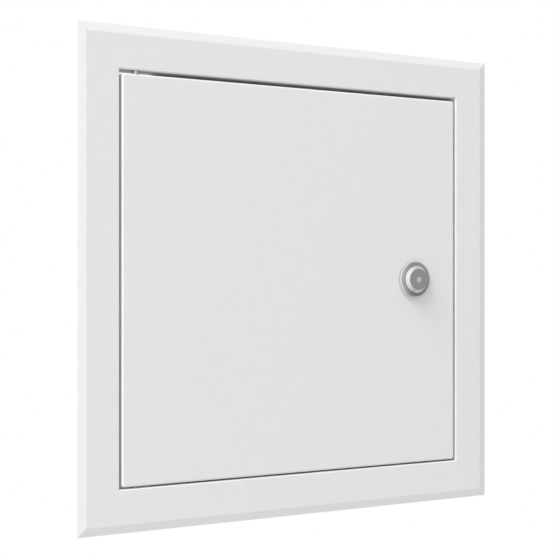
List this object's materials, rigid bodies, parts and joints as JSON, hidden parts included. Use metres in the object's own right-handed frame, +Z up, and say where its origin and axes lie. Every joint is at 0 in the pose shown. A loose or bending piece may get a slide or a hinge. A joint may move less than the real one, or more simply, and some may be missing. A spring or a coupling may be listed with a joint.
{
  "type": "ceiling access panel",
  "caption": "Square white steel access panel: mitred frame with a bevelled rim, and a flush pivot-hung door with a round quarter-turn lock.",
  "frame": {"origin": "middle of the panel on the wall plane, where the back of the frame's flange bears on the wall", "axes": "+X to the right seen from the front, +Y into the wall, +Z up; the door's face looks along -Y and its hinge is at -X"},
  "size_m": [0.366, 0.0557, 0.366],
  "materials": {
    "white_steel": "satin white powder coat",
    "chrome": "polished chrome plate",
    "zinc": "bright zinc plate",
    "nylon": "grey nylon",
    "foam": "grey closed-cell foam"
  },
  "bodies": {
    "frame": {"frame_top_rail": "white_steel", "frame_bottom_rail": "white_steel", "frame_hinge_stile": "white_steel", "frame_lock_stile": "white_steel", "corner_plate_top_left": "zinc", "corner_plate_top_right": "zinc", "corner_plate_bottom_left": "zinc", "corner_plate_bottom_right": "zinc", "fixing_strap_upper_left": "zinc", "fixing_strap_lower_left": "zinc", "fixing_strap_upper_right": "zinc", "fixing_strap_lower_right": "zinc", "seal_top": "foam", "seal_bottom": "foam", "seal_lock_side": "foam", "upper_hinge_bush": "nylon", "lower_hinge_pin": "zinc"},
    "door": {"door_leaf": "white_steel", "pin_guide_bracket": "zinc", "lower_hinge_plate": "zinc", "lower_hinge_bush": "nylon", "pin_spring": "zinc", "lock_housing": "chrome", "lock_nut": "zinc"},
    "upper_pin": {"upper_hinge_pin": "zinc", "pin_clip": "zinc"},
    "lock": {"lock_plug": "chrome", "lock_cam": "zinc", "cam_washer": "zinc", "cam_screw": "zinc"}
  },
  "joints": [
    {"name": "door_hinge", "type": "hinge", "parent": "frame", "child": "door", "pos_m": [-0.13685, 0.0023, 0], "axis": [0, 0, -1], "range_deg": [0, 120]},
    {"name": "lock_turn", "type": "hinge", "parent": "door", "child": "lock", "pos_m": [0.1077, 0, 0], "axis": [0, 1, 0], "range_deg": [0, 90]},
    {"name": "upper_pin_slide", "type": "slide", "parent": "door", "child": "upper_pin", "axis": [0, 0, -1], "range_m": [0, 0.0055], "stiffness_N_per_m": 300, "springref_m": -0.02, "deforming": ["pin_spring"]}
  ]
}
